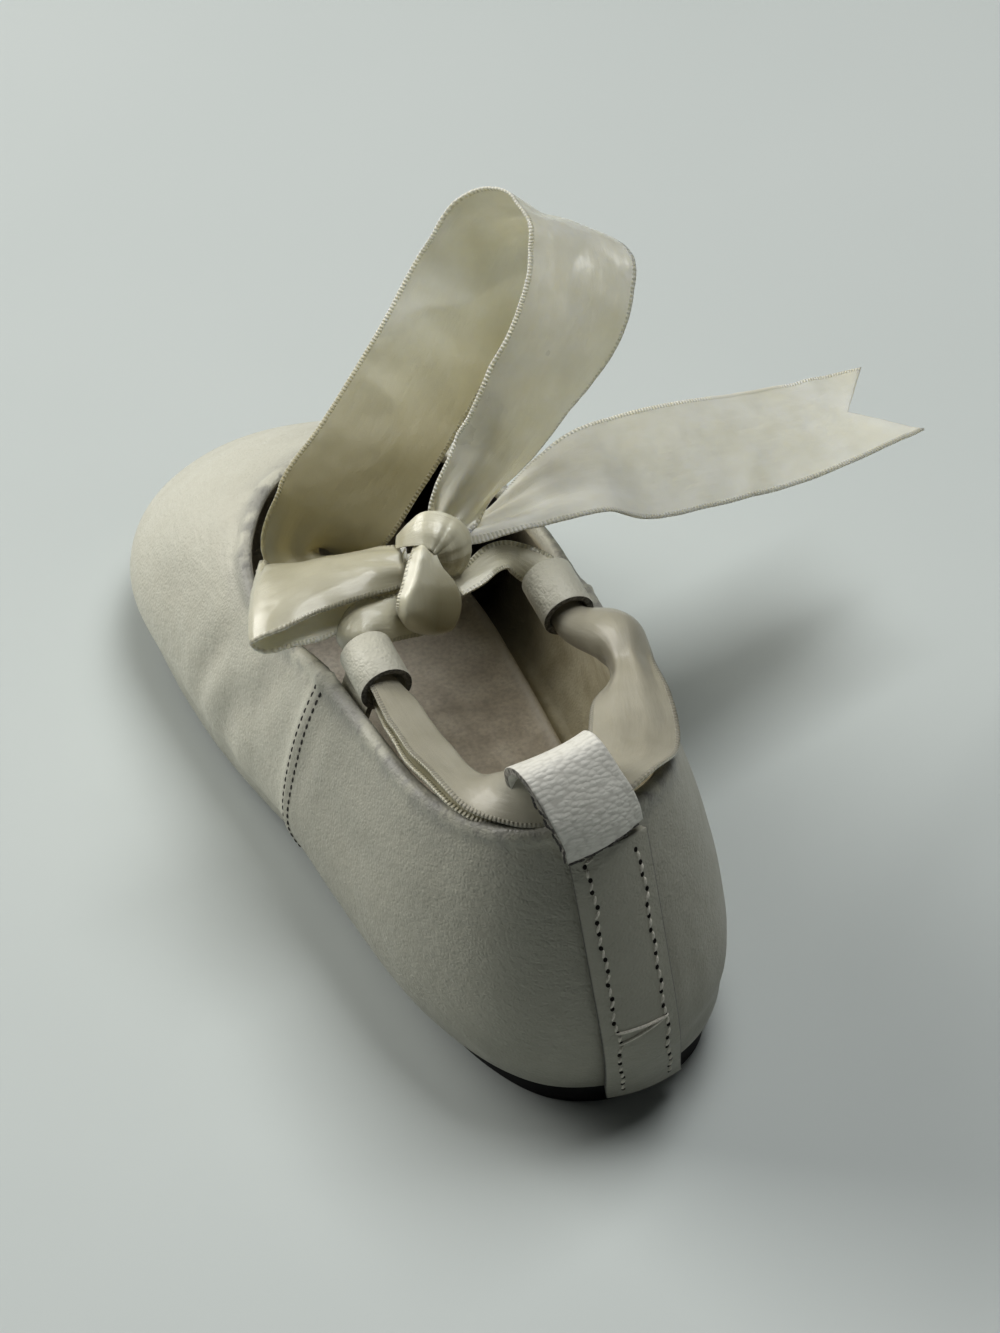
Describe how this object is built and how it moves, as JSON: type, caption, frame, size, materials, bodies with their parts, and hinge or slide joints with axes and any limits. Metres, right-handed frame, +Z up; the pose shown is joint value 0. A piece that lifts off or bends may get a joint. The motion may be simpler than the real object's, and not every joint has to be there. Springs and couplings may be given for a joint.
{
  "type": "baby mary jane shoe",
  "caption": "Soft leather baby mary jane shoe, left foot, with a round toe, low throat, thin sole and a satin ribbon tied in a bow over the instep.",
  "frame": {"origin": "on the floor, under the middle of the shoe's box without the free ribbon", "axes": "+Y towards the toe, +X to the wearer's right, +Z up"},
  "size_m": [0.1027, 0.125, 0.0829],
  "materials": {
    "sole_rubber": "matt black thin sole",
    "suede": "grey mauve suede insole",
    "ivory_leather": "soft smooth ivory leather with a low sheen",
    "grained_leather": "pebble-grained off-white leather with raw cut edges",
    "satin_ribbon": "cream satin ribbon with woven selvedges"
  },
  "bodies": {
    "root": {"outsole": "sole_rubber", "insole": "suede", "upper": "ivory_leather", "heel_strip": "ivory_leather", "heel_loop": "grained_leather", "side_loop_left": "ivory_leather", "side_loop_right": "ivory_leather", "ribbon_collar": "satin_ribbon", "ribbon_knot": "satin_ribbon", "ribbon_tall_loop": "satin_ribbon", "ribbon_flat_loop": "satin_ribbon", "ribbon_tail": "satin_ribbon"}
  },
  "joints": []
}
